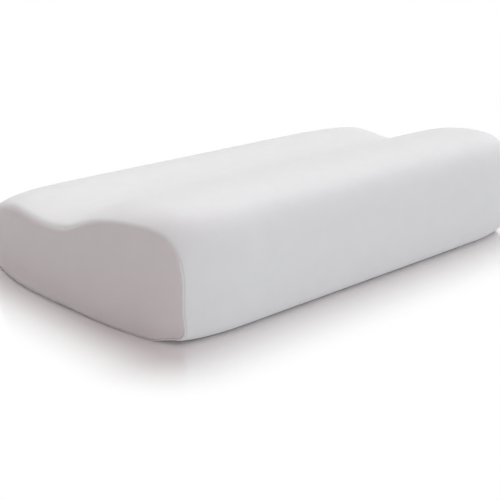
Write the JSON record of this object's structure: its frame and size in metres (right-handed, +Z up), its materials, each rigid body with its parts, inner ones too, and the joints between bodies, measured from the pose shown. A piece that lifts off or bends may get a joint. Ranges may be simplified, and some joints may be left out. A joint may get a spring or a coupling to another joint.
{
  "type": "bed pillow",
  "caption": "Contour foam bed pillow: high front lobe, shallow valley and low back lobe, in a plain knit cover with end panels and a zip along the back wall.",
  "frame": {"origin": "centre of the footprint of the whole outline, on the flat underside", "axes": "+X along the length, to the right seen from the front; +Y from the high front lobe to the low back lobe; +Z up"},
  "size_m": [0.6, 0.3838, 0.132],
  "materials": {
    "cover_knit": "fine brushed knit, matt with a soft sheen",
    "seam_thread": "polyester sewing thread and bound fabric edge",
    "liner_jersey": "thin plain jersey",
    "memory_foam": "open-cell slow-recovery foam, matt",
    "zip_tape": "woven polyester tape",
    "zip_coil": "moulded monofilament coil",
    "zip_metal": "white enamelled die casting",
    "label_satin": "blank woven satin"
  },
  "bodies": {
    "pillow": {"foam_core": "memory_foam", "liner_wrap": "liner_jersey", "liner_end_left": "liner_jersey", "liner_end_right": "liner_jersey", "cover_wrap_panel": "cover_knit", "cover_end_panel_left": "cover_knit", "cover_end_panel_right": "cover_knit", "end_seam_rib_left": "seam_thread", "end_seam_rib_right": "seam_thread", "zip_tape_upper": "zip_tape", "zip_tape_lower": "zip_tape", "zip_coil_upper": "zip_coil", "zip_coil_lower": "zip_coil", "zip_top_stop_upper": "zip_metal", "zip_top_stop_lower": "zip_metal", "zip_bottom_stop": "zip_metal", "zip_stitch_row_upper": "seam_thread", "zip_stitch_row_lower": "seam_thread", "care_label": "label_satin"},
    "zip_slider": {"zip_slider_body": "zip_metal"},
    "pull_tab": {"zip_pull_tab": "zip_metal"}
  },
  "joints": [
    {"name": "zip_slide", "type": "slide", "parent": "pillow", "child": "zip_slider", "axis": [-1, 0, 0], "range_m": [0, 0.36], "deforming": ["zip_coil_upper", "zip_coil_lower"]},
    {"name": "pull_tab_swing", "type": "hinge", "parent": "zip_slider", "child": "pull_tab", "pos_m": [0.18, 0.19025, 0.044], "axis": [0, 0, -1], "range_deg": [0, 175]}
  ]
}
